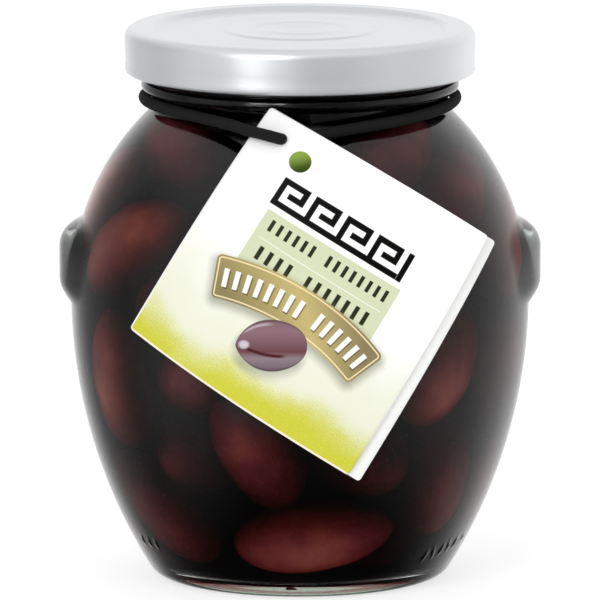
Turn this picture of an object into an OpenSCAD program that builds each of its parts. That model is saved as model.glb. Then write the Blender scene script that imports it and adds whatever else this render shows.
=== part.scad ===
// Jar of dark olives in brine: a round-bellied glass jar with two small ears, a twist-off lid,
// and a folded card tag that hangs from an elastic cord round the neck.
// Millimetres. +Z is up, -Y is the front, and the origin is the middle of the foot.

/* [Jar] */
// Diameter of the belly, at its widest
belly_d = 87; // [72:1:105]
// Height of the widest place above the foot
belly_z = 54; // [45:1:65]
// Diameter of the ring that the jar stands on
foot_d = 50.6; // [40:0.1:60]
// Rounding of the heel, between the foot and the side
heel_r = 4; // [3:0.1:6]
// Height where the shoulder runs into the neck
shoulder_z = 89.5; // [82:0.5:108]
// Height from the shoulder's top to the rim
neck_h = 14.1; // [13.5:0.1:18]
// Thickness of the glass wall
wall = 2.4; // [1.8:0.1:3]
// Thickness of the glass base
base_t = 3; // [2:0.1:5]
// How far the middle of the base is pushed up
push_up = 2; // [1:0.1:4]

/* [Neck] */
// Diameter at the bottom of the groove that holds the cord
groove_d = 56.2; // [54:0.1:58]
// Diameter of the neck above the bead
neck_d = 58.4; // [57:0.1:60]
// Diameter of the glass bead round the neck
bead_d = 60.2; // [59:0.1:62]
// Height of the bead
bead_h = 2.6; // [1.6:0.1:3]
// Height of the groove, from the shoulder's top to the bead
groove_h = 3.2; // [2.8:0.1:4]
// Diameter of the plain finish inside the lid
finish_d = 60; // [58.6:0.1:62]
// Diameter of the mouth
bore_d = 52.6; // [48:0.1:53]

/* [Ears] */
// How far an ear stands out from the belly's radius
ear_out = 2.2; // [1:0.1:4]
// Radius of an ear, seen from above
ear_plan_r = 18.3; // [14:0.1:22]
// Height of an ear
ear_h = 16.7; // [12:0.1:20]
// Height of an ear's middle above the foot
ear_z = 60.5; // [52:0.5:66]
// Rounding of an ear's upper and lower edge
ear_round = 4.5; // [2:0.1:6]

/* [Contents] */
// Empty height between the brine and the lid
headspace = 3.2; // [2:0.1:4]
// Clearance between the brine's solid and the glass
brine_gap = 0.05; // [0.02:0.01:0.2]

/* [Lid] */
// Outer diameter of the lid
lid_d = 66.4; // [65:0.1:70]
// Height of the lid
lid_h = 8.7; // [7.5:0.1:11]
// Thickness of the lid's metal
lid_metal = 0.6; // [0.4:0.1:0.8]
// Depth of the metal and the seal over the rim
lid_seal = 1.4; // [1.2:0.1:2]
// Rounding of the lid's upper edge
lid_round = 2; // [1:0.1:3]
// Radius of the rolled edge at the foot of the skirt
curl_r = 0.9; // [0.6:0.1:1.2]
// Width of the raised ring above the rim
ring_w = 4.4; // [3:0.1:5]
// Depth of the panel below the raised ring
panel_drop = 0.8; // [0.4:0.1:0.8]
// Diameter of the round step in the middle of the panel
button_d = 28; // [20:1:36]
// Height of the round step
button_h = 0.3; // [0.2:0.1:0.6]

/* [Cord] */
// Diameter of the elastic cord
cord_d = 2.2; // [1.6:0.1:2.4]

/* [Tag] */
// Width of the tag's back leaf
tag_w = 52.3; // [42:0.1:60]
// Height of both leaves
tag_h = 51.6; // [42:0.1:60]
// How much narrower the front leaf is
leaf_step = 2.6; // [1:0.1:6]
// Thickness of each leaf
leaf_t = 0.4; // [0.3:0.05:0.6]
// Rounding of the tag's corners
tag_round = 1.2; // [0.5:0.1:4]
// How far the tag is turned, as it hangs by its corner
tag_turn = 32.3; // [20:1:45]
// Radius that the tag is bent to, round an upright line
tag_bend = 70; // [55:1:120]
// Clearance between the tag and the belly
tag_gap = 0.3; // [0.2:0.1:1]
// Diameter of the punched hole
hole_d = 3; // [2.8:0.1:4]

/* [Hidden] */
$fn = 96;

belly_r = belly_d / 2;
jar_h = shoulder_z + neck_h;
lid_top = jar_h + lid_seal;
lid_foot = lid_top - lid_h;

// The tag's hole, along the tag and below the shoulder's top.
hole_x = -3.4;
hole_drop = 0.8;
hole_z = shoulder_z - hole_drop;
// How far out the hole hangs: a share of the way from the groove to the tag's upright part
hole_share = 0.472;
// The tag's upper corner, from the hole.
corner_left = 2.1;
corner_up = 5.5;
// The tag starts to lean in towards the neck this much above the belly's widest place.
lean_start = 4;
lean_z = belly_z + lean_start;

// The elastic's route, once round the neck. It passes over the tag's left edge, goes in through
// the hole from the front, and leaves behind the tag.
cord_route = [
    [-1.9, -33.6, 88.4], [0.5, -33.1, 88.4], [4, -31.9, 88.9], [8, -29.6, 89.4],
    [13, -27, 89.9], [18, -23.8, 90.3], [23, -18.6, 90.7], [27, -12, 91.1],
    [29.2, -4, 91.4], [29.2, 4, 91.5], [26.4, 13, 91.5], [20.9, 20.8, 91.5],
    [13, 26.4, 91.5], [4, 29.2, 91.5], [-4, 29.2, 91.5], [-13, 26.4, 91.5],
    [-20.9, 20.8, 91.5], [-26.4, 13, 91.5], [-29.2, 4, 91.5], [-29.2, -4, 91.5],
    [-27.2, -11.6, 91.5], [-23.2, -18.4, 91.3], [-18, -25, 91], [-13, -31, 90.7],
    [-9.4, -36, 90.3], [-7.2, -37, 89.9], [-5, -37.5, 89.4], [-3.8, -37, 89],
    [-3.4, -35.7, 88.7], [-3.1, -34.5, 88.5]
];
cord_sides = 8;
cord_steps = 2;

// Points on an arc, from one angle to the other, both ends included.
function arc(centre, r, from, to, n) =
    [for (i = [0:n]) let (a = from + (to - from) * i / n) centre + r * [cos(a), sin(a)]];

// Radius of the arc that drops by drop over a run, and starts along the run.
function drop_radius(run, drop) = (run * run + drop * drop) / (2 * drop);

// The two big arcs of the side, both upright at the belly. The lower one runs into the heel's
// rounding, and the upper one into the neck.
low_r = let (in = belly_r - foot_d / 2, up = belly_z - heel_r)
    (in * in + up * up - heel_r * heel_r) / (2 * (in - heel_r));
high_r = drop_radius(shoulder_z - belly_z, belly_r - groove_d / 2);
low_c = [belly_r - low_r, belly_z];
high_c = [belly_r - high_r, belly_z];

// The side from the foot to the neck, offset inwards by inset. Its heel has a radius of round and
// stands on the height floor, and a fillet ends it on the radius neck_r.
function side_line(inset, floor, round, neck_r, fillet) =
    let (
        heel_z = floor + round,
        heel_x = low_c[0] + sqrt(pow(low_r - inset - round, 2) - pow(belly_z - heel_z, 2)),
        heel_a = atan2(heel_z - low_c[1], heel_x - low_c[0]),
        top_x = neck_r + fillet,
        top_z = high_c[1] + sqrt(pow(high_r - inset + fillet, 2) - pow(top_x - high_c[0], 2)),
        top_a = atan2(top_z - high_c[1], top_x - high_c[0])
    ) concat(
        arc([heel_x, heel_z], round, -90, heel_a, 6),
        arc(low_c, low_r - inset, heel_a, 0, 14),
        [for (p = arc(high_c, high_r - inset, 0, top_a, 12)) if (p[1] > belly_z) p],
        [for (p = arc([top_x, top_z], fillet, 180 + top_a, 180, 4)) if (p[0] < top_x - 0.001) p]
    );

// The domed line of the base, from its middle out to the radius reach.
function dome_line(reach, z) =
    let (r = drop_radius(reach, push_up), half = asin(reach / r))
    [for (p = arc([0, z + push_up - r], r, 90, 90 - half, 8)) if (p[0] < reach - 0.01) p];

neck_fillet = 1.5;
inner_fillet = 4;
inner_heel = 6;
foot_land = 1.5;
rim_round = 0.6;

module jar_outside() {
    bead_z = shoulder_z + groove_h + bead_h / 2;
    bead_arc = arc([bead_d / 2 - bead_h / 2, bead_z], bead_h / 2, -90, 90, 10);
    finish_z = lid_foot + 1;
    rim_c = [finish_d / 2 - rim_round, jar_h - rim_round];
    rotate_extrude()
        polygon(concat(
            dome_line(foot_d / 2 - foot_land, 0),
            [[foot_d / 2 - foot_land, 0]],
            side_line(0, 0, heel_r, groove_d / 2, neck_fillet),
            [[groove_d / 2, bead_z - bead_h / 2]],
            bead_arc,
            [[neck_d / 2, bead_z + bead_h / 2], [neck_d / 2, finish_z], [finish_d / 2, finish_z + 1]],
            arc(rim_c, rim_round, 0, 90, 4),
            [[0, jar_h]]
        ));
}

// The space inside the glass up to a height, smaller all round by gap.
module hollow(gap, top) {
    inner_r = bore_d / 2 - gap;
    line = side_line(wall + gap, base_t + gap, inner_heel, inner_r, inner_fillet);
    rotate_extrude()
        polygon(concat(
            dome_line(line[0][0], base_t + gap),
            line,
            [[inner_r, top], [0, top]]
        ));
}

module ear(side) {
    round = min(ear_round, ear_h / 2 - 0.5);
    low = ear_z - ear_h / 2;
    high = ear_z + ear_h / 2;
    translate([side * (belly_r + ear_out - ear_plan_r), 0, 0])
        rotate_extrude()
            polygon(concat(
                [[0, low]],
                arc([ear_plan_r - round, low + round], round, -90, 0, 6),
                arc([ear_plan_r - round, high - round], round, 0, 90, 6),
                [[0, high]]
            ));
}

module jar() {
    color([0.82, 0.87, 0.85, 0.35])
        difference() {
            union() {
                jar_outside();
                for (side = [-1, 1])
                    ear(side);
            }
            hollow(0, jar_h + 1);
        }
}

module brine() {
    color("#241818")
        hollow(brine_gap, jar_h - headspace);
}

module lid() {
    r = lid_d / 2;
    curl_z = lid_foot + curl_r;
    ring_in = r - lid_round - ring_w;
    panel_z = lid_top - panel_drop;
    color("#d6dade")
        rotate_extrude()
            polygon(concat(
                [[0, jar_h], [r - lid_metal, jar_h]],
                [[r - lid_metal, curl_z + curl_r]],
                arc([r - curl_r, curl_z], curl_r, 90, 360, 12),
                arc([r - lid_round, lid_top - lid_round], lid_round, 0, 90, 6),
                [[ring_in, lid_top], [ring_in - panel_drop, panel_z]],
                [[button_d / 2 + button_h, panel_z], [button_d / 2, panel_z + button_h]],
                [[0, panel_z + button_h]]
            ));
}

// A closed sweep along the route. Each piece of it is a cubic curve whose ends point along the
// mean of the two directions that meet there.
function unit(v) = v / norm(v);
function route_at(i) = let (n = len(cord_route)) cord_route[(i + n) % n];
function heading(i) = unit(unit(route_at(i + 1) - route_at(i)) + unit(route_at(i) - route_at(i - 1)));
function piece_at(i, t) =
    let (a = route_at(i), b = route_at(i + 1), long = norm(b - a))
    a * (2 * pow(t, 3) - 3 * t * t + 1) + b * (3 * t * t - 2 * pow(t, 3))
    + long * heading(i) * (pow(t, 3) - 2 * t * t + t) + long * heading(i + 1) * (pow(t, 3) - t * t);

module cord() {
    path = [for (i = [0:len(cord_route) - 1]) for (k = [0:cord_steps - 1]) piece_at(i, k / cord_steps)];
    n = len(path);
    points = [
        for (i = [0:n - 1])
            let (
                along = unit(path[(i + 1) % n] - path[(i + n - 1) % n]),
                out = unit(cross(along, [0, 0, 1])),
                up = cross(out, along)
            )
            for (s = [0:cord_sides - 1])
                let (a = 360 * (s + 0.5) / cord_sides)
                path[i] + cord_d / 2 * (cos(a) * out + sin(a) * up)
    ];
    faces = [
        for (i = [0:n - 1]) for (s = [0:cord_sides - 1])
            let (j = (i + 1) % n, t = (s + 1) % cord_sides)
            [i * cord_sides + s, i * cord_sides + t, j * cord_sides + t, j * cord_sides + s]
    ];
    color("#1b1b1b")
        polyhedron(points = points, faces = faces, convexity = 6);
}

// The tag's bent surface: upright below lean_z, and above it an arc that reaches the hole. Its
// front has the radius tag_bend there, about an upright line.
tag_front = belly_r + tag_gap + 2 * leaf_t;
lean_r = drop_radius(hole_z - lean_z, (1 - hole_share) * (tag_front - leaf_t - groove_d / 2));
function lean_in(up) = up > 0 ? lean_r * (1 - cos(up / lean_r * 180 / PI)) : 0;
function lean_up(up) = lean_z + (up > 0 ? lean_r * sin(up / lean_r * 180 / PI) : up);

// Place of a point on the flat card, seen from the front.
function bent(p) =
    let (r = tag_bend - lean_in(p[1]))
    [r * sin(p[0] / r * 180 / PI), lean_up(p[1])];

// The leaf's outline on the flat card, with round corners, from its upper left corner.
function leaf_line(width, height) =
    let (
        corner = [hole_x - corner_left, lean_r * asin((hole_z + corner_up - lean_z) / lean_r) * PI / 180],
        right = [cos(tag_turn), -sin(tag_turn)],
        down = [-sin(tag_turn), -cos(tag_turn)],
        c = tag_round,
        flat = concat(
            arc([c, c], c, 180, 270, 3),
            [for (i = [1:6]) [c + (width - 2 * c) * i / 7, 0]],
            arc([width - c, c], c, 270, 360, 3),
            [for (i = [1:6]) [width, c + (height - 2 * c) * i / 7]],
            arc([width - c, height - c], c, 0, 90, 3),
            [for (i = [1:6]) [width - c - (width - 2 * c) * i / 7, height]],
            arc([c, height - c], c, 90, 180, 3),
            [for (i = [1:6]) [0, height - c - (height - 2 * c) * i / 7]]
        )
    ) [for (p = flat) bent(corner + p[0] * right + p[1] * down)];

// One leaf: a bent shell, cut to the leaf's outline. Its front lies depth behind the tag's front.
module leaf(width, depth) {
    high = lean_r * asin(min(0.9, (hole_z + corner_up + 2 - lean_z) / lean_r)) * PI / 180;
    line = concat([-tag_h], [for (i = [0:12]) high * i / 12]);
    back = depth + leaf_t;
    intersection() {
        rotate([90, 0, 0])
            linear_extrude(tag_front + 1)
                polygon(leaf_line(width, tag_h));
        translate([0, tag_bend - tag_front, 0])
            rotate_extrude()
                polygon(concat(
                    [for (v = line) [tag_bend - depth - lean_in(v), lean_up(v)]],
                    [for (i = [len(line) - 1:-1:0]) [tag_bend - back - lean_in(line[i]), lean_up(line[i])]]
                ));
    }
}

module tag() {
    color("#f2f3ee")
        difference() {
            union() {
                leaf(tag_w, leaf_t);
                leaf(tag_w - leaf_step, 0);
            }
            translate([hole_x, 0, hole_z])
                rotate([90, 0, 0])
                    cylinder(d = hole_d, h = tag_front + 2);
        }
}

jar();
brine();
lid();
cord();
tag();
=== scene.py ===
"""A jar of dark olives in brine, with a twist-off lid and a folded card tag on an elastic cord.

Lengths are in millimetres until a mesh is made. Angles round the jar are in degrees, measured from
the front, and positive towards the right ear, as seen from the front.
"""

import math

import bpy
import numpy as np
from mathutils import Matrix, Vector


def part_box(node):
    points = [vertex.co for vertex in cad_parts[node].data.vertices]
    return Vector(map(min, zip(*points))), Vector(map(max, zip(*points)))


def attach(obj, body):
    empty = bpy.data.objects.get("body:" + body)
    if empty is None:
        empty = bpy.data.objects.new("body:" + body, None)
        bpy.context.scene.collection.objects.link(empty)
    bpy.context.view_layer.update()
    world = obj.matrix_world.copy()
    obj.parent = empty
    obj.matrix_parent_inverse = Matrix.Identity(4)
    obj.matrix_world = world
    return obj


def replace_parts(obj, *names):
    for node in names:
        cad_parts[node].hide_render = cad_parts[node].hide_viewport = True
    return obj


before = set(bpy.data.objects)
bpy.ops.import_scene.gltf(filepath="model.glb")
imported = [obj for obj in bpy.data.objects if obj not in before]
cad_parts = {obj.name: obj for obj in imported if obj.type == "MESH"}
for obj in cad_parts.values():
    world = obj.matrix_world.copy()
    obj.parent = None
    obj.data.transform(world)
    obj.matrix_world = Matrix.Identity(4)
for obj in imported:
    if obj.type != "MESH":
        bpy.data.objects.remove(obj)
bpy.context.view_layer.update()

MM = 0.001


def box_of(node):
    """Lowest and highest corner of a CAD node, in millimetres."""
    low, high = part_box(node)
    return np.array(low) / MM, np.array(high) / MM


# Sizes that the frame gives
BELLY_R = box_of("jar")[1][1]
EAR_REACH = box_of("jar")[1][0]
RIM_Z = box_of("jar")[1][2]
BRINE_TOP = box_of("brine")[1][2]
LID_FOOT = box_of("lid")[0][2]
LID_TOP = box_of("lid")[1][2]
LID_R = box_of("lid")[1][1]
TAG_FRONT = -box_of("tag")[0][1]

# The glass
BELLY_Z = 54
FOOT_R = 25.3
HEEL_R = 4
FOOT_LAND = 1.5
FOOT_EDGE = 0.6
WALL = 2.4
BASE_T = 3
PUSH_UP = 2
SHOULDER_Z = 89.5
NECK_FILLET = 1.5
GROOVE_R = 28.1
GROOVE_H = 3.2
BEAD_R = 30.1
BEAD_H = 2.6
BEAD_FOOT = 0.5
NECK_R = 29.2
BORE_R = 26.3
INNER_FILLET = 4
INNER_HEEL = 6
RIM_ROUND = 0.6

# The ears
EAR_H = 15.9
EAR_Z = 60.1
EAR_ROUND = 5
EAR_PLAN_R = 18.3
EAR_BLEND = 2


# ---------------------------------------------------------------- meshes


def add_piece(name, points, faces, materials):
    """A smooth mesh piece from points in millimetres. It rides on the one body."""
    mesh = bpy.data.meshes.new(name)
    mesh.from_pydata((np.asarray(points, float) * MM).tolist(), [], faces)
    mesh.validate()
    mesh.shade_smooth()
    piece = bpy.data.objects.new(name, mesh)
    bpy.context.scene.collection.objects.link(piece)
    for material in materials:
        mesh.materials.append(material)
    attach(piece, "root")
    return piece


def grid_faces(rows, columns, close_rows=False, close_columns=False):
    """Quads of a grid whose points are stored row by row."""
    i = np.arange(rows if close_rows else rows - 1)[:, None]
    j = np.arange(columns if close_columns else columns - 1)[None, :]
    i2, j2 = (i + 1) % rows, (j + 1) % columns
    corners = [i * columns + j, i * columns + j2, i2 * columns + j2, i2 * columns + j]
    return np.stack(corners, axis=-1).reshape(-1, 4)


def lathe(line, angles, bulge=None):
    """Points and faces of a closed turned shape. The line runs from the axis to the axis, and
    bulge(angle, height, radius) may add to a point's radius."""
    inner = np.asarray(line, float)[1:-1]
    a = np.radians(angles)[None, :]
    r = np.repeat(inner[:, :1], len(angles), axis=1)
    z = np.repeat(inner[:, 1:], len(angles), axis=1)
    if bulge is not None:
        r = bulge(np.repeat(np.degrees(a), len(inner), axis=0), z, r)
    points = np.stack([r * np.sin(a), -r * np.cos(a), z], axis=-1).reshape(-1, 3)
    first, last = len(points), len(points) + 1
    points = np.vstack([points, [0, 0, line[0][1]], [0, 0, line[-1][1]]])
    n = len(angles)
    faces = grid_faces(len(inner), n, close_columns=True).tolist()
    start = (len(inner) - 1) * n
    faces += [[first, (j + 1) % n, j] for j in range(n)]
    faces += [[last, start + j, start + (j + 1) % n] for j in range(n)]
    return points, faces


def arc(centre, radius, start, end, count):
    """Points on an arc, angles in degrees, both ends included."""
    a = np.radians(np.linspace(start, end, count))
    return np.column_stack([centre[0] + radius * np.cos(a), centre[1] + radius * np.sin(a)])


def drop_radius(run, drop):
    """Radius of the arc that starts along the run and drops by drop over it."""
    return (run * run + drop * drop) / (2 * drop)


# ---------------------------------------------------------------- node helpers


class Val:
    """A number worked out in a node tree. Arithmetic on it adds Math nodes."""

    def __init__(self, tree, socket):
        self.tree = tree
        self.socket = socket

    def __add__(self, other):
        return self.tree.math("ADD", self, other)

    def __sub__(self, other):
        return self.tree.math("SUBTRACT", self, other)

    def __mul__(self, other):
        return self.tree.math("MULTIPLY", self, other)

    def __truediv__(self, other):
        return self.tree.math("DIVIDE", self, other)

    def __rsub__(self, other):
        return self.tree.math("SUBTRACT", other, self)

    __radd__ = __add__
    __rmul__ = __mul__


class Tree:
    """Adds and links the nodes of a material or of the world."""

    def __init__(self, owner):
        owner.use_nodes = True
        self.tree = owner.node_tree
        self.tree.nodes.clear()

    def add(self, kind, inputs=None, **settings):
        node = self.tree.nodes.new(kind)
        for name, value in settings.items():
            setattr(node, name, value)
        for name, value in (inputs or {}).items():
            self.feed(node.inputs[name], value)
        return node

    def feed(self, socket, value):
        if isinstance(value, Val):
            value = value.socket
        if isinstance(value, bpy.types.NodeSocket):
            self.tree.links.new(value, socket)
        else:
            socket.default_value = value

    def math(self, operation, *values):
        node = self.add("ShaderNodeMath", operation=operation)
        for socket, value in zip(node.inputs, values):
            self.feed(socket, value)
        return Val(self, node.outputs[0])

    def ramp(self, value, low, high, smooth=True):
        """0 below low and 1 above high; low may be the larger one."""
        node = self.add("ShaderNodeMapRange", {"Value": value, "From Min": low, "From Max": high})
        node.interpolation_type = "SMOOTHSTEP" if smooth else "LINEAR"
        return Val(self, node.outputs["Result"])

    def mix(self, share, first, second):
        """A blend of two colours. The node's colour sockets are found by place, because its
        number sockets have the same names."""
        node = self.add("ShaderNodeMix", data_type="RGBA")
        self.feed(node.inputs["Factor"], share)
        self.feed(node.inputs[6], first)
        self.feed(node.inputs[7], second)
        return node.outputs[2]

    def noise(self, vector, scale, detail=2.0, roughness=0.5):
        node = self.add(
            "ShaderNodeTexNoise",
            {"Vector": vector, "Scale": scale, "Detail": detail, "Roughness": roughness},
        )
        return Val(self, node.outputs["Fac"])

    def steps(self, value, *stops):
        """A colour ramp: stops are (position, colour)."""
        node = self.add("ShaderNodeValToRGB", {"Fac": value})
        elements = node.color_ramp.elements
        while len(elements) < len(stops):
            elements.new(0.5)
        for element, (position, colour) in zip(elements, stops):
            element.position = position
            element.color = (*colour, 1)
        return node.outputs["Color"]

    def bump(self, height, distance, strength=1.0):
        node = self.add(
            "ShaderNodeBump", {"Height": height, "Distance": distance, "Strength": strength}
        )
        return node.outputs["Normal"]


def srgb(code):
    """Linear colour of a code such as d3dab5."""
    parts = [int(code[i : i + 2], 16) / 255 for i in (0, 2, 4)]
    return tuple(p / 12.92 if p <= 0.04045 else ((p + 0.055) / 1.055) ** 2.4 for p in parts)


def new_material(name, **inputs):
    """A material with one Principled shader, and its tree."""
    material = bpy.data.materials.new(name)
    tree = Tree(material)
    shader = tree.add("ShaderNodeBsdfPrincipled")
    for key, value in inputs.items():
        tree.feed(shader.inputs[key.replace("_", " ")], value)
    output = tree.add("ShaderNodeOutputMaterial", {"Surface": shader.outputs[0]})
    return material, tree, shader, output


# ---------------------------------------------------------------- materials


GLASS_IOR = 1.52
BRINE_IOR = 1.34


def clear_material(name, ior):
    """A smooth, clear surface, and its tree and output."""
    material, tree, shader, output = new_material(
        name, Base_Color=(1, 1, 1, 1), Roughness=0, IOR=ior, Transmission_Weight=1
    )
    return material, tree, output


def absorb(tree, output, colour, density):
    """What is inside takes up light, least of the given colour."""
    volume = tree.add("ShaderNodeVolumeAbsorption", {"Color": (*colour, 1), "Density": density})
    tree.feed(output.inputs["Volume"], volume.outputs[0])


def glass_material():
    material, tree, output = clear_material("glass", GLASS_IOR)
    absorb(tree, output, (0.60, 0.90, 0.75), 26.0)
    return material


def glass_inside_material():
    """The wall's inner face, which brine wets: it bends light only as glass against brine does."""
    return clear_material("glass_inside", GLASS_IOR / BRINE_IOR)[0]


def brine_material():
    """Its surface lies in the glass, which bends the light already."""
    material, tree, output = clear_material("brine", 1)
    absorb(tree, output, (0.60, 0.20, 0.26), 430.0)
    return material


def olive_material():
    """Wet skin without a shine of its own, since brine lies against it."""
    material, tree, shader, output = new_material("olive_skin")
    where = tree.add("ShaderNodeTexCoord").outputs["Object"]
    tint = tree.add("ShaderNodeAttribute", attribute_name="tint").outputs["Fac"]
    blotch = tree.noise(where, 110, 3)
    fleck = tree.ramp(tree.noise(where, 1500, 1), 0.66, 0.74)
    base = tree.steps(
        Val(tree, tint) * 0.75 + blotch * 0.9 - 0.32,
        (0.0, (0.06, 0.015, 0.022)),
        (0.45, (0.22, 0.045, 0.052)),
        (0.75, (0.38, 0.115, 0.075)),
        (1.0, (0.62, 0.26, 0.15)),
    )
    tree.feed(shader.inputs["Base Color"], tree.mix(fleck * 0.12, base, (0.6, 0.3, 0.25, 1)))
    tree.feed(shader.inputs["Roughness"], 0.45)
    tree.feed(shader.inputs["Specular IOR Level"], 0)
    tree.feed(shader.inputs["Normal"], tree.bump(tree.noise(where, 500, 3), 0.0004, 0.6))
    return material


def lid_material():
    material, tree, shader, output = new_material("lid_lacquer", Metallic=0.62, IOR=1.5)
    where = tree.add("ShaderNodeTexCoord").outputs["Object"]
    cloud = tree.noise(where, 60, 3)
    tree.feed(
        shader.inputs["Base Color"],
        tree.mix(cloud, (0.80, 0.82, 0.83, 1), (0.86, 0.875, 0.885, 1)),
    )
    peel = tree.noise(where, 2200, 2)
    tree.feed(shader.inputs["Roughness"], tree.ramp(cloud, 0, 1, False) * 0.08 + 0.27)
    tree.feed(shader.inputs["Normal"], tree.bump(peel, 0.00002, 0.5))
    return material


def elastic_material():
    material, tree, shader, output = new_material(
        "elastic_braid", Roughness=0.85, Specular_IOR_Level=0.25
    )
    where = tree.add("ShaderNodeTexCoord").outputs["Object"]
    fibre = tree.noise(where, 4000, 2)
    tree.feed(
        shader.inputs["Base Color"],
        tree.mix(fibre, (0.003, 0.003, 0.003, 1), (0.014, 0.013, 0.013, 1)),
    )
    tree.feed(shader.inputs["Normal"], tree.bump(fibre, 0.00006, 0.7))
    return material


def card_finish(tree, shader, where):
    """The board's faint fibre and its coated finish."""
    fibre = tree.noise(where, 1800, 3)
    tree.feed(shader.inputs["Roughness"], fibre * 0.1 + 0.45)
    tree.feed(shader.inputs["Specular IOR Level"], 0.12)
    tree.feed(shader.inputs["Normal"], tree.bump(fibre, 0.00002, 0.4))


def card_material():
    material, tree, shader, output = new_material("card_plain", Base_Color=(0.90, 0.90, 0.88, 1))
    card_finish(tree, shader, tree.add("ShaderNodeTexCoord").outputs["Object"])
    return material


# ---------------------------------------------------------------- the tag's print


# Sizes on the flat card, in millimetres from its upper left corner: across, and down
TAG_W = 52.3
TAG_H = 51.6
LEAF_STEP = 2.6
TAG_TURN = 32.3
BANNER_R = 43.8
PRINTED_AT = (24.5, 38.5)
PRINTED_HALF_LEN = 6.7
PRINTED_HALF_H = 4.9
UV_SCALE = 100


class Print:
    """Fields of colour and simple shapes, laid over each other on the card."""

    def __init__(self, tree):
        self.tree = tree
        uv = tree.add("ShaderNodeUVMap", uv_map="card").outputs["UV"]
        split = tree.add("ShaderNodeSeparateXYZ", {"Vector": uv})
        self.uv = uv
        self.across = Val(tree, split.outputs["X"]) * UV_SCALE
        self.down = Val(tree, split.outputs["Y"]) * UV_SCALE
        self.colour = (*srgb("fdfdfc"), 1)

    def lay(self, mask, colour):
        """Covers what is there by colour, where mask is 1."""
        if not isinstance(colour, bpy.types.NodeSocket):
            colour = (*colour, 1)
        self.colour = self.tree.mix(mask, self.colour, colour)

    def within(self, value, low, high, soft=0.06):
        """1 between low and high."""
        centre, half = (low + high) / 2, (high - low) / 2
        away = self.tree.math("ABSOLUTE", value - centre)
        return self.tree.ramp(away, half + soft, half - soft)

    def box(self, across, down, soft=0.06):
        return self.within(self.across, *across, soft) * self.within(self.down, *down, soft)

    def edge(self, distance, soft=0.06):
        """1 where the signed distance is below 0."""
        return self.tree.ramp(distance, soft, -soft)

    def either(self, *masks):
        found = masks[0]
        for mask in masks[1:]:
            found = self.tree.math("MAXIMUM", found, mask)
        return found

    def repeat(self, value, start, pitch):
        """Place inside the repeated cell, from 0 to 1."""
        return self.tree.math("FRACT", (value - start) / pitch)


def print_ground(p):
    """White, with a grainy yellow-green wash along the lower edge and the left corner."""
    tree = p.tree
    grain = tree.noise(p.uv, 420, 1)
    drift = tree.noise(p.uv, 9, 2)
    pale_patch = tree.ramp(p.across, 4, 12) * tree.ramp(p.across, 24, 12)
    depth = p.down + (drift - 0.5) * 9 - pale_patch * 3
    p.lay(tree.ramp(depth, 18, 42) * 0.9, srgb("e4e6cf"))
    p.lay(tree.ramp(depth, 40.5, 50) * 0.8, srgb("dcdd8e"))
    p.lay(tree.ramp(depth + (grain - 0.5) * 9, 42, 49.5), srgb("cac93c"))
    speck = tree.ramp(grain, 0.62, 0.7) * tree.ramp(depth, 42, 48)
    p.lay(speck * 0.5, srgb("e6ea8e"))
    p.lay(p.within(p.down, TAG_H - 0.4, TAG_H + 1), srgb("f1e9cf"))


def print_band(p):
    """The pale green field, its dividing line, and two rows of short upright bars."""
    left, right, top, bottom, divide = 10.4, 39.6, 17.1, 30.6, 22.5
    p.lay(p.box((left, right), (top, bottom)), srgb("d2d8b6"))
    p.lay(p.box((left + 1.2, right - 1.2), (divide - 0.1, divide + 0.1), 0.04), srgb("eceedd"))
    rows = (
        (11.9, 38.1, 1.78, 18.4, 20.7, (22.6, 24.2)),
        (12.5, 37.6, 2.1, 23.7, 26.4, (20.9, 23.1)),
    )
    for start, end, pitch, high, low, gap in rows:
        cell = p.repeat(p.across, start, pitch)
        bars = p.within(cell, 0.2, 0.62, 0.04) * p.box((start, end), (high, low))
        p.lay(bars * (1 - p.within(p.across, *gap)), srgb("2a2d18"))


def print_key(p):
    """A dark key pattern, in the place of the name."""
    stroke, left, units, bottom = 1.15, 9.9, 4, 16.0
    width = 6 * stroke
    a = p.repeat(p.across, left, width) * 6
    b = (bottom - p.down) / stroke
    right = left + units * width
    soft = 0.05

    def block(across, up):
        return p.within(a, *across, soft) * p.within(b, *up, soft)

    cells = p.either(
        block((0, 1), (0, 5)), block((0, 5), (4, 5)), block((4, 5), (2, 5)), block((2, 5), (2, 3))
    )
    cells = cells * p.within(p.across, left, right, 0.04)
    base = p.box((left, right), (bottom - stroke, bottom))
    end = p.box((right, right + stroke), (bottom - 5 * stroke, bottom))
    p.lay(p.either(cells, base, end), srgb("080806"))


def print_dot(p):
    """A plain green dot."""
    tree = p.tree
    centre = (10.6, 6.4)
    a, b = p.across - centre[0], p.down - centre[1]
    away = tree.math("SQRT", a * a + b * b)
    green = tree.steps(tree.ramp(a + b, -2.4, 2.4), (0, srgb("8aa548")), (1, srgb("34480a")))
    p.lay(p.edge(away - 2.1), green)


def print_banner_bars(p, radius, along):
    """Two groups of white bars across the banner, each bar with a dark edge."""
    pitch = 2.13
    start = -7.45 * pitch

    def bars(slip):
        cell = p.repeat(along, start + slip, pitch)
        row = p.within(radius, BANNER_R - 1.75 - slip, BANNER_R + 1.75 - slip)
        groups = p.either(
            p.within(along, start + slip, start + 8 * pitch + slip, 0.02),
            p.within(along, start + 9 * pitch + slip, start + 15 * pitch + slip, 0.02),
        )
        return p.within(cell, 0.22, 0.66, 0.05) * row * groups

    p.lay(bars(0.28) * 0.75, srgb("4f421f"))
    p.lay(bars(0), srgb("fbfaf4"))


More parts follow.
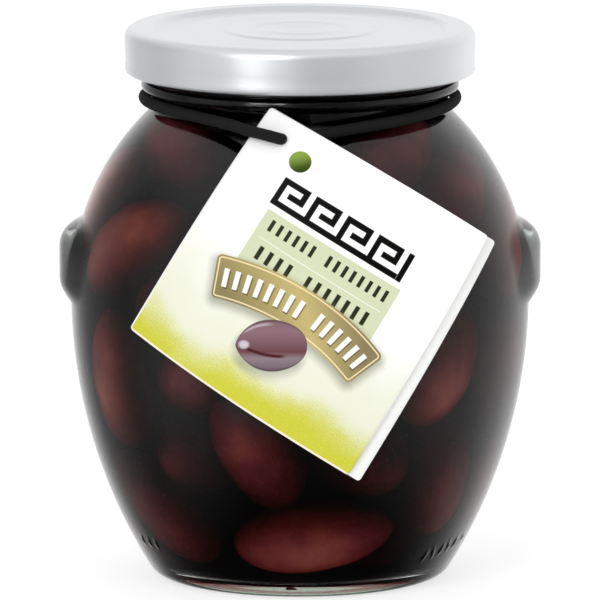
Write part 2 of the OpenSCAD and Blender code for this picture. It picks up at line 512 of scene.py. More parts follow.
def print_banner(p):
    """A curved gold banner with a pale outline, a soft shadow and white bars."""
    tree = p.tree
    centre, half_h, half_len, corner = (25.2, 73.75), 4.15, 17.1, 1.0

    def polar(shift_across, shift_down):
        a = p.across - (centre[0] + shift_across)
        b = (centre[1] + shift_down) - p.down
        return tree.math("SQRT", a * a + b * b), tree.math("ARCTAN2", a, b) * BANNER_R

    def distance(radius, along):
        x = tree.math("ABSOLUTE", along) - (half_len - corner)
        y = tree.math("ABSOLUTE", radius - BANNER_R) - (half_h - corner)
        x, y = tree.math("MAXIMUM", x, 0), tree.math("MAXIMUM", y, 0)
        return tree.math("SQRT", x * x + y * y) - corner

    p.lay(tree.ramp(distance(*polar(0.2, 0.7)), 1.9, -0.7) * 0.6, srgb("6f6c52"))
    radius, along = polar(0, 0)
    d = distance(radius, along)
    gold = tree.steps(
        tree.ramp(along + (radius - BANNER_R) * 1.2, -half_len, half_len, False),
        (0.0, srgb("8c8056")),
        (0.25, srgb("a89863")),
        (0.55, srgb("c4b274")),
        (0.8, srgb("a39464")),
        (1.0, srgb("8a7c58")),
    )
    p.lay(p.edge(d), gold)
    p.lay(p.within(d, -0.62, -0.36), srgb("ecdcae"))
    print_banner_bars(p, radius, along)


def printed_level(p, shift_x, shift_y):
    """Place on the printed olive, which lies level with the ground."""
    c, s = math.cos(math.radians(TAG_TURN)), math.sin(math.radians(TAG_TURN))
    a, b = p.across - PRINTED_AT[0], p.down - PRINTED_AT[1]
    return a * c - b * s - shift_x, a * s + b * c - shift_y


def printed_fill(p, x, y):
    """Share of the way from the printed olive's middle line to its outline."""
    tree = p.tree
    t = x / PRINTED_HALF_LEN
    inside = tree.math("MAXIMUM", 1 - t * t, 0.0001)
    blunt = tree.math("MINIMUM", tree.math("MAXIMUM", t, -1), 1)
    height = tree.math("POWER", inside, 0.58 - 0.11 * blunt) * PRINTED_HALF_H
    return tree.math("ABSOLUTE", y) / height


def print_skin(p, x, y, fill, body):
    """The printed olive's skin, with a crease and a darker rim."""
    tree = p.tree
    skin = tree.steps(
        tree.ramp(y / PRINTED_HALF_H, -1, 1, False),
        (0.0, srgb("7d6068")),
        (0.22, srgb("8b6b74")),
        (0.5, srgb("75545d")),
        (0.62, srgb("6a4148")),
        (0.75, srgb("8a7a80")),
        (1.0, srgb("6b5a62")),
    )
    p.lay(body, skin)
    crease_y = x * x * -0.035 + x * 0.12 + 1.9
    crease = tree.ramp(tree.math("ABSOLUTE", y - crease_y), 0.5, 0.1)
    p.lay(crease * tree.ramp(x, -5.6, -4.4) * tree.ramp(x, 3.2, 1.5) * body, srgb("4a1c1e"))
    p.lay(tree.ramp(fill, 0.86, 1.0) * body * 0.7, srgb("46353c"))


def print_shine(p, x, y, fill, body):
    """The printed olive's round spot and streak of light."""
    tree = p.tree
    shine_x, shine_y = x + 5.1, y + 0.1
    shine = tree.ramp(shine_x * shine_x + shine_y * shine_y * 1.6, 1.6, 0.2)
    p.lay(shine * body * 0.8, srgb("d9d4dc"))
    streak = tree.ramp(tree.math("ABSOLUTE", fill * tree.ramp(y, 0.2, -0.4) - 0.82), 0.09, 0.02)
    p.lay(streak * tree.ramp(x, 1, -1.5) * tree.ramp(x, -5.6, -4.2) * body * 0.6, srgb("c9bdc6"))


def print_olive(p):
    """A picture of one olive with its shadow."""
    tree = p.tree
    x, y = printed_level(p, -0.5, 1.2)
    shadow = tree.ramp(printed_fill(p, x * 0.86, y * 0.86), 1.15, 0.55)
    p.lay(shadow * tree.ramp(x, 8, 5) * tree.ramp(x, -8, -5) * 0.5, srgb("75746a"))
    x, y = printed_level(p, 0, 0)
    fill = printed_fill(p, x, y)
    body = tree.ramp(fill, 1.02, 0.97) * p.within(x, -PRINTED_HALF_LEN, PRINTED_HALF_LEN)
    print_skin(p, x, y, fill, body)
    print_shine(p, x, y, fill, body)


def print_material():
    material, tree, shader, output = new_material("card_print")
    p = Print(tree)
    print_ground(p)
    print_band(p)
    print_key(p)
    print_dot(p)
    print_banner(p)
    print_olive(p)
    tree.feed(shader.inputs["Base Color"], p.colour)
    card_finish(tree, shader, tree.add("ShaderNodeTexCoord").outputs["Object"])
    return material


# ---------------------------------------------------------------- the glass jar


LOW_R = ((BELLY_R - FOOT_R) ** 2 + (BELLY_Z - HEEL_R) ** 2 - HEEL_R**2) / (
    2 * (BELLY_R - FOOT_R - HEEL_R)
)
HIGH_R = drop_radius(SHOULDER_Z - BELLY_Z, BELLY_R - GROOVE_R)
LOW_C = (BELLY_R - LOW_R, BELLY_Z)
HIGH_C = (BELLY_R - HIGH_R, BELLY_Z)


def side_line(inset, floor, heel, neck_r, fillet, step):
    """The side from the heel to the neck, offset inwards by inset, with a point every step."""
    heel_z = floor + heel
    heel_x = LOW_C[0] + math.sqrt((LOW_R - inset - heel) ** 2 - (BELLY_Z - heel_z) ** 2)
    heel_a = math.degrees(math.atan2(heel_z - LOW_C[1], heel_x - LOW_C[0]))
    top_x = neck_r + fillet
    top_z = HIGH_C[1] + math.sqrt((HIGH_R - inset + fillet) ** 2 - (top_x - HIGH_C[0]) ** 2)
    top_a = math.degrees(math.atan2(top_z - HIGH_C[1], top_x - HIGH_C[0]))
    low_n = int(math.radians(-heel_a) * LOW_R / step)
    high_n = int(math.radians(top_a) * HIGH_R / step)
    return np.vstack(
        [
            arc((heel_x, heel_z), heel, -90, heel_a, 12),
            arc(LOW_C, LOW_R - inset, heel_a, 0, low_n)[1:],
            arc(HIGH_C, HIGH_R - inset, 0, top_a, high_n)[1:],
            arc((top_x, top_z), fillet, 180 + top_a, 180, 8)[1:],
        ]
    )


def dome_line(reach, z, count):
    """The domed base, from its middle out to reach."""
    r = drop_radius(reach, PUSH_UP)
    return arc((0, z + PUSH_UP - r), r, 90, 90 - math.degrees(math.asin(reach / r)), count)


def outer_line():
    """The outside, from the base's middle up the side and over the groove and bead to the rim."""
    bead_z = SHOULDER_Z + GROOVE_H + BEAD_H / 2
    half = BEAD_H / 2
    low, high = bead_z - half, bead_z + half
    return np.vstack(
        [
            dome_line(FOOT_R - FOOT_LAND - FOOT_EDGE, 0, 14),
            arc((FOOT_R - FOOT_LAND, FOOT_EDGE), FOOT_EDGE, 200, 270, 5),
            side_line(0, 0, HEEL_R, GROOVE_R, NECK_FILLET, 0.55),
            arc((GROOVE_R + BEAD_FOOT, low - BEAD_FOOT), BEAD_FOOT, 180, 90, 5),
            arc((BEAD_R - half, bead_z), half, -80, 80, 16),
            arc((NECK_R + 0.3, high + 0.3), 0.3, 260, 180, 4),
            arc((NECK_R + RIM_ROUND, RIM_Z - RIM_ROUND), RIM_ROUND, 0, 90, 5),
        ]
    )


def inner_line(grow, step):
    """The inside, from the base's middle up to the fillet at the mouth, larger by grow."""
    side = side_line(WALL - grow, BASE_T - grow, INNER_HEEL, BORE_R + grow, INNER_FILLET, step)
    return np.vstack([dome_line(side[0][0], BASE_T - grow, 10)[:-1], side])


def ear_radius(angle, z):
    """Radius of the ear's outline at an angle and a height, or 0. The ear is round in plan."""
    over = np.maximum(np.abs(z - EAR_Z) - (EAR_H / 2 - EAR_ROUND), 0)
    plan = EAR_PLAN_R - EAR_ROUND + np.sqrt(np.maximum(EAR_ROUND**2 - over**2, 0))
    root = EAR_REACH - EAR_PLAN_R
    side, front = np.abs(np.sin(np.radians(angle))), np.cos(np.radians(angle))
    inside = plan**2 - (root * front) ** 2
    found = (inside > 0) & (over < EAR_ROUND)
    return np.where(found, root * side + np.sqrt(np.maximum(inside, 0)), 0)


# Small raised dashes above the heel: angle, height, width, height of the dash, lean
HEEL_MARKS = [(a, 8.6, 0.9, 1.5, 10) for a in (-66, -61, -56.5)] + [
    (48, 7.0, 0.8, 2.2, 25),
    (52, 7.3, 0.7, 2.2, -25),
    (56.5, 7.6, 0.8, 2.2, 25),
    (60.5, 7.9, 0.7, 2.2, -25),
    (65, 8.2, 0.8, 2.0, 25),
    (71, 8.6, 1.0, 1.0, 0),
]
MARK_RELIEF = 0.22


def heel_relief(angle, z, r):
    """How far the small dashes stand out at a point."""
    relief = np.zeros_like(r)
    for mark_a, mark_z, width, height, lean in HEEL_MARKS:
        across = np.radians(angle - mark_a) * r
        up = z - mark_z
        c, s = math.cos(math.radians(lean)), math.sin(math.radians(lean))
        x = (across * c - up * s) / (width / 2)
        y = (across * s + up * c) / (height / 2)
        relief = np.maximum(relief, np.clip(1.35 - np.maximum(np.abs(x), np.abs(y)), 0, 1))
    return MARK_RELIEF * relief * relief * (3 - 2 * relief)


def jar_bulge(angle, z, r):
    """The ears and the dashes, on the outer side only."""
    outside = np.arange(len(r))[:, None] < OUTER_COUNT - 2
    angle = (angle + 180) % 360 - 180
    ear = ear_radius(angle, z)
    near = np.maximum(EAR_BLEND - np.abs(r - ear), 0) / EAR_BLEND
    with_ear = np.where(z > BELLY_Z - EAR_H, np.maximum(r, ear) + near**2 * EAR_BLEND / 4, r)
    return np.where(outside, with_ear + heel_relief(angle, z, r) * (z > 3) * (z < 14), r)


OUTER = outer_line()
INNER = inner_line(0, 1.8)
OUTER_COUNT = len(OUTER)


def jar_angles():
    """Even steps round the jar, closer together at the dashes."""
    fine = [np.arange(mark[0] - 1.8, mark[0] + 1.81, 0.45) for mark in HEEL_MARKS]
    even = np.arange(-180, 180, 1.5)
    far = [a for a in even if min(abs(a - mark[0]) for mark in HEEL_MARKS) > 2.1]
    return np.unique(np.round(np.concatenate([far, *fine]), 2))


def make_jar():
    """The glass. Its inner face has the material of glass that brine wets."""
    inside = np.vstack([[BORE_R + RIM_ROUND, RIM_Z], [BORE_R, RIM_Z - RIM_ROUND], INNER[::-1]])
    line = np.vstack([OUTER, inside])
    angles = jar_angles()
    points, faces = lathe(line, angles, jar_bulge)
    materials = [glass_material(), glass_inside_material()]
    jar = add_piece("glass_jar", points, faces, materials)
    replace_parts(jar, "jar")
    n = len(angles)
    first_inner = (OUTER_COUNT - 1) * n
    index = np.zeros(len(faces), np.int32)
    index[first_inner:] = 1
    index[-2 * n : -n] = 0
    jar.data.polygons.foreach_set("material_index", index)
    return jar


def make_brine():
    """The brine reaches a little into the wall, so that no air shows between them."""
    reach = 0.1
    line = np.vstack([inner_line(reach, 2.0), [BORE_R + reach, BRINE_TOP], [0, BRINE_TOP]])
    points, faces = lathe(line, np.arange(-180, 180, 2.5))
    brine = add_piece("brine_fill", points, faces, [brine_material()])
    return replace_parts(brine, "brine")


# ---------------------------------------------------------------- the olives


# What the packing leaves between an olive's balls and the glass
OLIVE_GAP = 0.15
OLIVE_LEN = 24.5
OLIVE_WIDE = 15.2
OLIVE_RINGS = 22
OLIVE_SIDES = 30
# The olives that show through the glass: angle, height, depth behind the wall, lean from upright
# (towards the right), length, and tint
FRONT_OLIVES = [
    (-60.5, 65, 0.8, 62, 27, 0.72),
    (-88, 70, 0.5, 10, 22, 0.95),
    (-58, 81, 2.0, 78, 23, 0.35),
    (-65, 41, 0.6, -12, 26, 0.75),
    (-36, 42, 3.5, -30, 24, 0.2),
    (-14.5, 30, 1.4, -8, 25, 0.4),
    (6, 13, 0.7, 78, 28, 0.55),
    (-60, 18, 2.0, -42, 26, 0.35),
    (55, 25.5, 2.2, 32, 27, 0.2),
    (84, 20, 2.5, 30, 24, 0.3),
    (48, 44, 1.4, 42, 25, 0.55),
    (97, 36, 1.0, 10, 23, 0.6),
    (84, 63, 1.0, 15, 23, 0.7),
    (64, 72.5, 2.5, 60, 23, 0.45),
    (42, 80.5, 3.0, 75, 23, 0.35),
]
OLIVE_COUNT = 74
# How much farther the others keep off the front of the glass
FRONT_SPARE = 1.9
# The packing. Each step moves what overlaps apart by PUSH_SHARE of the overlap. Front olives take
# FRONT_SHARE of their pushes, and go HOME_SHARE of the way back to their places.
PACK_STEPS = 420
SINK_STEPS = 250
SINK = 0.1
BALL_SHARE = 0.94
PUSH_SHARE = 0.22
TURN_SHARE = 0.5
FRONT_SHARE = 0.25
HOME_SHARE = 0.12


def wall_push(points, radius, spare):
    """How far balls of that radius have to move to lie inside the brine. Towards the front they
    also keep off the wall by up to spare, where dark brine hides them."""
    flat = np.hypot(points[..., 0], points[..., 1])
    front = np.clip(0.5 - 1.2 * points[..., 1] / np.maximum(flat, 1), 0, 1)
    radius = radius + spare * front
    move = np.zeros_like(points)
    is_low = points[..., 2] < BELLY_Z
    for centre, big_r, part in ((LOW_C, LOW_R, is_low), (HIGH_C, HIGH_R, ~is_low)):
        dx, dz = flat - centre[0], points[..., 2] - centre[1]
        dist = np.hypot(dx, dz)
        over = np.where(part, np.maximum(dist - (big_r - WALL - OLIVE_GAP - radius), 0), 0)
        share = over / np.maximum(dist, 1e-6)
        scale = -share * dx / np.maximum(flat, 1e-6)
        move[..., 0] += scale * points[..., 0]
        move[..., 1] += scale * points[..., 1]
        move[..., 2] += -share * dz
    in_neck = np.maximum(flat - (BORE_R - OLIVE_GAP - radius), 0)
    in_neck = (points[..., 2] > SHOULDER_Z - 4) * in_neck
    move[..., 0] -= in_neck * points[..., 0] / np.maximum(flat, 1e-6)
    move[..., 1] -= in_neck * points[..., 1] / np.maximum(flat, 1e-6)
    floor = BASE_T + PUSH_UP + OLIVE_GAP + radius
    roof = BRINE_TOP - 1 - radius
    move[..., 2] += np.maximum(floor - points[..., 2], 0) - np.maximum(points[..., 2] - roof, 0)
    return move


def front_olive(angle, z, depth, lean, width):
    """Centre and direction of an olive at a depth behind the glass's inner face."""
    big_r, c = (LOW_R, LOW_C) if z < BELLY_Z else (HIGH_R, HIGH_C)
    wall_r = c[0] + math.sqrt((big_r - WALL) ** 2 - (z - c[1]) ** 2)
    r = wall_r - width / 2 - depth - OLIVE_GAP
    a, tip = math.radians(angle), math.radians(lean)
    side = np.array([math.cos(a), math.sin(a), 0])
    centre = np.array([r * math.sin(a), -r * math.cos(a), z])
    return centre, math.sin(tip) * side + math.cos(tip) * np.array([0, 0, 1])


def scatter_olives(rng):
    """First places, directions, sizes and tints: the front ones as listed, the others at random."""
    n = OLIVE_COUNT
    fixed = len(FRONT_OLIVES)
    length = OLIVE_LEN * rng.uniform(0.88, 1.08, n)
    width = OLIVE_WIDE * rng.uniform(0.9, 1.05, n)
    tint = rng.uniform(0, 0.24, n)
    centre = np.zeros((n, 3))
    axis = rng.normal(size=(n, 3))
    for i, (angle, z, depth, lean, long, shade) in enumerate(FRONT_OLIVES):
        length[i], width[i], tint[i] = long, 0.9 * OLIVE_WIDE + 0.1 * (long - OLIVE_LEN), shade
        centre[i], axis[i] = front_olive(angle, z, depth, lean, width[i])
    level = rng.uniform(12, 92, n - fixed)
    spread = np.sqrt(rng.uniform(0, 1, n - fixed)) * np.where(level > 80, 18, 32)
    turn = rng.uniform(0, 2 * math.pi, n - fixed)
    centre[fixed:] = np.column_stack([spread * np.sin(turn), spread * np.cos(turn), level])
    axis /= np.linalg.norm(axis, axis=1)[:, None]
    return centre, axis, length, width, tint


def pack_olives(centre, axis, length, width):
    """Pushes the olives apart. Each counts as five balls in a row, a little thinner than the
    olive, so some that touch still cut into each other or into the glass by a millimetre or so.
    The front ones stay near their places, and the others sink at first."""
    n, fixed = OLIVE_COUNT, len(FRONT_OLIVES)
    home = centre[:fixed].copy()
    ball = width / 2 * BALL_SHARE
    reach = length / 2 - ball
    spare = np.where(np.arange(n) < fixed, 0, FRONT_SPARE)
    weight = np.where(np.arange(n) < fixed, FRONT_SHARE, 1)[:, None]
    offsets = np.array([-1, -0.5, 0, 0.5, 1])
    first, second = np.triu_indices(n, 1)
    for step in range(PACK_STEPS):
        balls = centre[:, None] + axis[:, None] * (offsets[None, :, None] * reach[:, None, None])
        gap = balls[first][:, :, None] - balls[second][:, None]
        dist = np.linalg.norm(gap, axis=-1)
        over = np.maximum((ball[first] + ball[second])[:, None, None] - dist, 0)
        push = PUSH_SHARE * (over / np.maximum(dist, 1e-6))[..., None] * gap
        move = wall_push(balls, ball[:, None], spare[:, None])
        np.add.at(move, first, push.sum(2))
        np.add.at(move, second, -push.sum(1))
        total = move.sum(1) / 2 * weight
        if step < SINK_STEPS:
            total[fixed:, 2] -= SINK
        torque = (move * offsets[None, :, None]).sum(1) / np.maximum(reach, 1)[:, None]
        centre += np.clip(total, -2, 2)
        centre[:fixed] += HOME_SHARE * (home - centre[:fixed])
        axis += np.clip(torque, -0.2, 0.2) * weight * TURN_SHARE
        axis /= np.linalg.norm(axis, axis=1)[:, None]


def olive_shape(rng, length, width):
    """One olive along +Z: a blunt end, a drawn-out tip, a slight bend, a crease, soft wrinkles."""
    t = -np.cos(np.linspace(0, math.pi, OLIVE_RINGS))[:, None]
    around = np.linspace(0, 2 * math.pi, OLIVE_SIDES, endpoint=False)[None, :]
    tip = np.clip((t + 1) / 2, 0, 1)
    r = width / 2 * np.maximum(1 - t * t, 0) ** (0.5 + 0.1 * tip**4) * (1.02 - 0.07 * t)
    phase = rng.uniform(0, 2 * math.pi, 4)
    wrinkle = 0.1 * np.sin(3 * around + 4 * t + phase[0])
    wrinkle = wrinkle + 0.07 * np.sin(5 * around - 7 * t + phase[1])
    fade = np.maximum(1 - t * t, 0)
    crease = np.exp(-(((around - math.pi) / 0.16) ** 2)) * fade * rng.uniform(0.2, 0.7)
    r = r + (wrinkle - crease) * fade
    bend = rng.uniform(0.2, 1.2) * t * t
    along = t * length / 2 + 0 * around
    return np.stack([r * np.cos(around) + bend, r * np.sin(around), along], -1).reshape(-1, 3)


def make_olives():
    """All olives in one mesh. Each one's tint is stored on its points."""
    rng = np.random.default_rng(11)
    centre, axis, length, width, tint = scatter_olives(rng)
    pack_olives(centre, axis, length, width)
    quads = grid_faces(OLIVE_RINGS, OLIVE_SIDES, close_columns=True)
    points, faces, tints = [], [], []
    for i in range(OLIVE_COUNT):
        shape = olive_shape(rng, length[i], width[i])
        side = np.cross(axis[i], rng.normal(size=3))
        side /= np.linalg.norm(side)
        basis = np.array([side, np.cross(axis[i], side), axis[i]])
        faces.append(quads + len(points) * len(shape))
        points.append(shape @ basis + centre[i])
        tints.append(np.full(len(shape), tint[i]))
    faces = np.vstack(faces).tolist()
    olives = add_piece("olives", np.vstack(points), faces, [olive_material()])
    weld = olives.modifiers.new("weld", "WELD")
    weld.merge_threshold = 0.02 * MM
    attribute = olives.data.attributes.new("tint", "FLOAT", "POINT")
    attribute.data.foreach_set("value", np.concatenate(tints).astype(np.float32))
    return olives


# ---------------------------------------------------------------- the lid


def make_lid():
    """From the middle of its underside, down inside the skirt, round the curl and over the top.
    Plain rings stand for the embossing in the middle of the panel."""
    metal, curl, top_round = 0.6, 0.9, 2.0
    ring_in = LID_R - top_round - 4.4
    panel_z = LID_TOP - 0.8
    curl_z = LID_FOOT + curl
    line = np.vstack(
        [
            [[0, RIM_Z], [LID_R - metal - 0.6, RIM_Z], [LID_R - metal, RIM_Z - 0.6]],
            [[LID_R - metal, curl_z + curl]],
            arc((LID_R - curl, curl_z), curl, 110, 340, 14),
            [[LID_R - 0.12, curl_z + curl * 0.9], [LID_R - 0.2, curl_z + curl * 1.6]],
            [[LID_R - 0.1, curl_z + 2.6], [LID_R - 0.04, curl_z + 3.4]],
            arc((LID_R - top_round, LID_TOP - top_round), top_round, 0, 80, 10),
            arc((ring_in + 1.6, LID_TOP - 1.0), 1.0, 90, 135, 5),
            arc((ring_in - 0.1, panel_z + 0.75), 0.75, -45, -90, 5),
            [[23.0, panel_z], [22.7, panel_z + 0.04], [22.3, panel_z + 0.04], [22.0, panel_z]],
            arc((14.9, panel_z + 0.5), 0.5, -90, -135, 4),
            arc((13.9, panel_z - 0.1), 0.42, 60, 90, 4),
            [[12.0, panel_z + 0.32], [9.2, panel_z + 0.30]],
            [[8.6, panel_z + 0.12], [7.9, panel_z + 0.12]],
            [[7.2, panel_z + 0.34], [5.6, panel_z + 0.32]],
            [[4.2, panel_z + 0.05], [2.4, panel_z - 0.1], [0, panel_z - 0.12]],
        ]
    )
    points, faces = lathe(line, np.arange(-180, 180, 1.5))
    lid = add_piece("twist_lid", points, faces, [lid_material()])
    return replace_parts(lid, "lid")


# ---------------------------------------------------------------- the elastic cord


CORD_R = 1.1
# The elastic's route round the neck and through the tag's hole
CORD_ROUTE = [
    (-1.9, -33.6, 88.4), (0.5, -33.1, 88.4), (4, -31.9, 88.9), (8, -29.6, 89.4),
    (13, -27, 89.9), (18, -23.8, 90.3), (23, -18.6, 90.7), (27, -12, 91.1),
    (29.2, -4, 91.4), (29.2, 4, 91.5), (26.4, 13, 91.5), (20.9, 20.8, 91.5),
    (13, 26.4, 91.5), (4, 29.2, 91.5), (-4, 29.2, 91.5), (-13, 26.4, 91.5),
    (-20.9, 20.8, 91.5), (-26.4, 13, 91.5), (-29.2, 4, 91.5), (-29.2, -4, 91.5),
    (-27.2, -11.6, 91.5), (-23.2, -18.4, 91.3), (-18, -25, 91), (-13, -31, 90.7),
    (-9.4, -36, 90.3), (-7.2, -37, 89.9), (-5, -37.5, 89.4), (-3.8, -37, 89),
    (-3.4, -35.7, 88.7), (-3.1, -34.5, 88.5),
]


def unit(v):
    """The same directions, with a length of 1."""
    return v / np.linalg.norm(v, axis=-1, keepdims=True)


def cord_path(step):
    """A closed smooth curve along the route, with a point about every step."""
    route = np.array(CORD_ROUTE, float)
    ahead = np.roll(route, -1, axis=0) - route
    heading = unit(unit(ahead) + unit(np.roll(ahead, 1, axis=0)))
    path = []
    for i, (a, b) in enumerate(zip(route, np.roll(route, -1, axis=0))):
        long = np.linalg.norm(b - a)
        t = np.linspace(0, 1, max(int(long / step), 2), endpoint=False)[:, None]
        after = heading[(i + 1) % len(route)]
        path.append(
            a * (2 * t**3 - 3 * t**2 + 1)
            + b * (3 * t**2 - 2 * t**3)
            + long * heading[i] * (t**3 - 2 * t**2 + t)
            + long * after * (t**3 - t**2)
        )
    return np.vstack(path)


def make_cord():
    """A braided tube: eight strands each way, which pass over and under each other."""
    sides, strands, lay, relief = 32, 8, 5.2, 0.05
    path = cord_path(0.3)
    along = unit(np.roll(path, -1, axis=0) - np.roll(path, 1, axis=0))
    out = unit(np.cross(along, [0, 0, 1]))
    up = np.cross(out, along)
    a = np.linspace(0, 2 * math.pi, sides, endpoint=False)[None, :]
    far = np.cumsum(np.linalg.norm(path - np.roll(path, 1, axis=0), axis=1))[:, None]
    turns = 2 * math.pi * round(far[-1, 0] / lay) / far[-1, 0]
    one = np.sin(strands / 2 * a + turns * far)
    two = np.sin(strands / 2 * a - turns * far)
    r = CORD_R - relief + relief * np.maximum(np.abs(one), np.abs(two))
    way = np.cos(a)[..., None] * out[:, None] + np.sin(a)[..., None] * up[:, None]
    points = (path[:, None] + r[..., None] * way).reshape(-1, 3)
    faces = grid_faces(len(path), sides, close_rows=True, close_columns=True)[:, ::-1].tolist()
    cord = add_piece("elastic_cord", points, faces, [elastic_material()])
    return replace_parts(cord, "cord")


# ---------------------------------------------------------------- the tag


FRONT_W = TAG_W - LEAF_STEP
LEAF_T = 0.4
FOLD_INSIDE_R = 0.02
TAG_ROUND = 0.6
TAG_BEND = 70
HOLE_D = 3
HOLE_X = -3.4
HOLE_Z = SHOULDER_Z - 0.8
CORNER_LEFT = 2.1
CORNER_UP = 5.5
LEAN_Z = BELLY_Z + 4
HOLE_SHARE = 0.472
LEAN_R = drop_radius(HOLE_Z - LEAN_Z, (1 - HOLE_SHARE) * (TAG_FRONT - LEAF_T - GROOVE_R))
LEAF_OPEN = 0.55
LEAF_POINTS = 46
DOWN_POINTS = 60
FOLD_POINTS = 8


def bent(across, down, depth):
    """Place of a point of the card. Depth is measured back from the front leaf's face."""
    turn = math.radians(TAG_TURN)
    corner_x = HOLE_X - CORNER_LEFT
    corner_y = LEAN_R * math.asin((HOLE_Z + CORNER_UP - LEAN_Z) / LEAN_R)
    x = corner_x + across * math.cos(turn) - down * math.sin(turn)
    y = corner_y - across * math.sin(turn) - down * math.cos(turn)
    lean = np.maximum(y, 0) / LEAN_R
    r = TAG_BEND - LEAN_R * (1 - np.cos(lean))
    angle = x / r
    height = LEAN_Z + np.where(y > 0, LEAN_R * np.sin(lean), y)
    middle = TAG_BEND - TAG_FRONT
    return np.stack([(r - depth) * np.sin(angle), middle - (r - depth) * np.cos(angle), height], -1)


def card_rows():
    """Places down the card, closer together at its corners, and how much the corners cut off."""
    corner = TAG_ROUND * (1 - np.cos(np.radians([0, 30, 60, 90])))
    even = TAG_H * np.linspace(0, 1, DOWN_POINTS)
    down = np.concatenate([corner, even[2:-2], TAG_H - corner[::-1]])
    near = np.minimum(down, TAG_H - down)
    cut = TAG_ROUND - np.sqrt(np.maximum(TAG_ROUND**2 - np.maximum(TAG_ROUND - near, 0) ** 2, 0))
    return down, cut


def leaf_across(width, cut):
    """Places across a leaf, from its free edge to the fold, for every row."""
    share = np.linspace(1, 0, LEAF_POINTS)[:, None]
    return LEAF_T + cut + share * (width - 2 * cut - LEAF_T)


def card_side(cut, fold_r):
    """Places across and depths of one side of the card, from the front leaf's free edge round the
    fold to the back leaf's, for every row. Only the front leaf opens."""
    front = leaf_across(FRONT_W, cut)
    back = leaf_across(TAG_W, cut)[::-1]
    turn = np.radians(np.linspace(0, 180, FOLD_POINTS + 2)[1:-1])[:, None]
    fold = LEAF_T + cut - fold_r * np.sin(turn)
    front_depth = LEAF_T - fold_r - LEAF_OPEN * np.clip(front / FRONT_W, 0, 1) ** 1.6
    fold_depth = LEAF_T - fold_r * np.cos(turn) + 0 * cut
    back_depth = LEAF_T + fold_r + 0 * back
    return np.vstack([front, fold, back]), np.vstack([front_depth, fold_depth, back_depth])


def edge_faces(rows, columns):
    """Quads that join the card's two sides along its four edges. They are wound against the
    sides, and so the hole that is cut later gets no wall."""
    size = rows * columns
    faces = []
    for j in (0, columns - 1):
        for i in range(rows - 1):
            a, b = i * columns + j, (i + 1) * columns + j
            quad = [a, b, b + size, a + size]
            faces.append(quad if j else quad[::-1])
    for i in (0, rows - 1):
        for j in range(columns - 1):
            a, b = i * columns + j, i * columns + j + 1
            quad = [a, b, b + size, a + size]
            faces.append(quad[::-1] if i else quad)
    return faces


def lay_print(tag, places, printed):
    """Prints the first faces, and stores each point's place on the flat card."""
    index = np.zeros(len(tag.data.polygons), np.int32)
    index[:printed] = 1
    tag.data.polygons.foreach_set("material_index", index)
    layer = tag.data.uv_layers.new(name="card")
    corners = np.zeros(len(tag.data.loops), np.int32)
    tag.data.loops.foreach_get("vertex_index", corners)
    layer.data.foreach_set("uv", (places[corners] / UV_SCALE).astype(np.float32).ravel())


def make_tag():
    """One card, folded along its left edge. The front leaf is narrower and opens a little."""
    down, cut = card_rows()
    points, places = [], []
    for fold_r in (LEAF_T, FOLD_INSIDE_R):
        across, depth = card_side(cut, fold_r)
        low = down + 0 * across
        points.append(bent(across, low, depth).reshape(-1, 3))
        places.append(np.column_stack([across.ravel(), low.ravel()]))
    rows, columns = across.shape
    outer = grid_faces(rows, columns)
    inner = outer[:, ::-1] + rows * columns
    faces = np.vstack([outer, inner, edge_faces(rows, columns)]).tolist()
    materials = [card_material(), print_material()]
    tag = add_piece("card_tag", np.vstack(points), faces, materials)
    lay_print(tag, np.vstack(places), (LEAF_POINTS - 1) * (columns - 1))
    punch_hole(tag)
    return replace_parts(tag, "tag")


def punch_hole(tag):
    """Cuts the round hole through both leaves."""
    bpy.ops.mesh.primitive_cylinder_add(
        vertices=40,
        radius=HOLE_D / 2 * MM,
        depth=12 * MM,
        location=(HOLE_X * MM, -36 * MM, HOLE_Z * MM),
        rotation=(math.pi / 2, 0, 0),
    )
    punch = bpy.context.object
    cut = tag.modifiers.new("hole", "BOOLEAN")
    cut.object = punch
    cut.operation = "DIFFERENCE"
    cut.solver = "EXACT"
    bpy.context.view_layer.update()
    made = bpy.data.meshes.new_from_object(
        tag.evaluated_get(bpy.context.evaluated_depsgraph_get())
    )
    tag.modifiers.remove(cut)
    tag.data = made
    bpy.data.objects.remove(punch)


# ---------------------------------------------------------------- studio


def make_camera():
    """In front of the jar, from slightly above, with a long lens."""
    elevation, distance, target = math.radians(9.5), 2.0, 0.0524
    data = bpy.data.cameras.new("camera")
    data.lens = 631.7
    camera = bpy.data.objects.new("camera", data)
    camera.location = (
        0,
        -distance * math.cos(elevation),
        target + distance * math.sin(elevation),
    )
    camera.rotation_euler = (math.pi / 2 - elevation, 0, 0)
    bpy.context.scene.collection.objects.link(camera)
    bpy.context.scene.camera = camera


def room_grey(tree, angle, z):
    """Dim in front and brighter to the back, dimmer on the left, dark below and light above."""
    grey = tree.steps(
        tree.math("ABSOLUTE", angle) / 180,
        (0.00, (0.17,) * 3),
        (0.20, (0.19,) * 3),
        (0.32, (0.44,) * 3),
        (0.55, (0.52,) * 3),
        (0.80, (1.0,) * 3),
    )
    left = tree.ramp(angle, -70, -105) * tree.ramp(angle, -165, -135)
    grey = tree.mix(left * 0.55, grey, (0, 0, 0, 1))
    grey = tree.mix(tree.ramp(z, -0.85, -0.3), (0.03, 0.03, 0.03, 1), grey)
    return tree.mix(tree.ramp(z, 0.3, 0.8), grey, (0.68, 0.68, 0.70, 1))


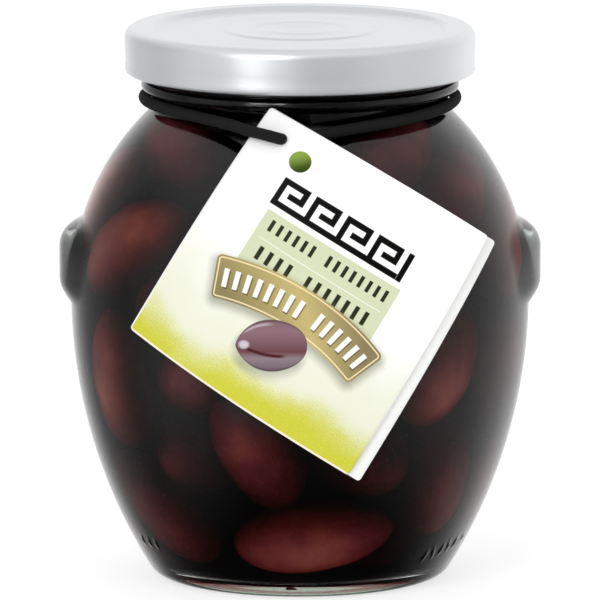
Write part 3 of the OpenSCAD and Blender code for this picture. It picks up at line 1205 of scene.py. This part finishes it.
def tall_light(tree, angle, z, grey):
    """Adds one tall soft light in front on the left, with a brighter core."""
    glow = tree.ramp(angle, -48, -36) * tree.ramp(angle, 0, -10)
    glow = glow * tree.ramp(z, -0.6, -0.4) * tree.ramp(z, 0.7, 0.5)
    grey = tree.mix(glow, grey, (0.55, 0.56, 0.56, 1))
    core = tree.ramp(angle, -43, -38) * tree.ramp(angle, -22, -27)
    core = core * tree.ramp(z, -0.4, -0.3) * tree.ramp(z, 0.5, 0.4)
    return tree.mix(core, grey, (1.7, 1.73, 1.76, 1))


def make_world():
    """The studio, which the camera itself sees as white. Light that reaches a dull piece through
    clear ones is even, so the olives are lit alike from all round."""
    world = bpy.data.worlds.new("studio")
    bpy.context.scene.world = world
    tree = Tree(world)
    way = tree.add("ShaderNodeTexCoord").outputs["Generated"]
    split = tree.add("ShaderNodeSeparateXYZ", {"Vector": way})
    x, y, z = (Val(tree, split.outputs[i]) for i in range(3))
    angle = tree.math("ARCTAN2", x, 0 - y) * (180 / math.pi)
    grey = tall_light(tree, angle, z, room_grey(tree, angle, z))
    path = tree.add("ShaderNodeLightPath")
    inside = tree.math("GREATER_THAN", path.outputs["Diffuse Depth"], 0.5)
    inside = inside * Val(tree, path.outputs["Is Transmission Ray"])
    grey = tree.mix(inside, grey, (1.1, 1.1, 1.1, 1))
    seen = tree.mix(path.outputs["Is Camera Ray"], grey, (1, 1, 1, 1))
    light = tree.add("ShaderNodeBackground", {"Color": seen, "Strength": 1.0})
    tree.add("ShaderNodeOutputWorld", {"Surface": light.outputs[0]})


def add_light(name, place, target, size, power, seen_in_gloss):
    """A square soft light, out of the camera's sight."""
    data = bpy.data.lights.new(name, "AREA")
    data.shape = "SQUARE"
    data.size = size
    data.energy = power
    light = bpy.data.objects.new(name, data)
    light.location = place
    way = np.array(target) - np.array(place)
    flat = math.hypot(way[0], way[1])
    light.rotation_euler = (
        math.pi / 2 + math.atan2(way[2], flat),
        0,
        math.atan2(way[1], way[0]) - math.pi / 2,
    )
    light.visible_camera = False
    light.visible_glossy = seen_in_gloss
    light.visible_transmission = False
    bpy.context.scene.collection.objects.link(light)


def make_floor():
    """White paper, which is left out of what shiny and clear pieces show."""
    bpy.ops.mesh.primitive_plane_add(size=6, location=(0, 0, -0.0001))
    floor = bpy.context.object
    floor.name = "floor"
    material = new_material(
        "floor_paper",
        Base_Color=(0.5, 0.5, 0.5, 1),
        Roughness=0.9,
        Emission_Color=(1, 1, 1, 1),
        Emission_Strength=0.7,
    )[0]
    floor.data.materials.append(material)
    floor.visible_glossy = False
    floor.visible_transmission = False


make_camera()
make_world()
add_light("key_light", (-0.5, -1.1, 0.75), (0, 0, 0.05), 0.6, 4.9, True)
add_light("fill_light", (0.7, -1.0, 0.5), (0, 0, 0.05), 0.8, 2.7, False)
make_floor()
bpy.context.scene.view_settings.view_transform = "Standard"

make_jar()
make_brine()
make_olives()
make_lid()
make_cord()
make_tag()
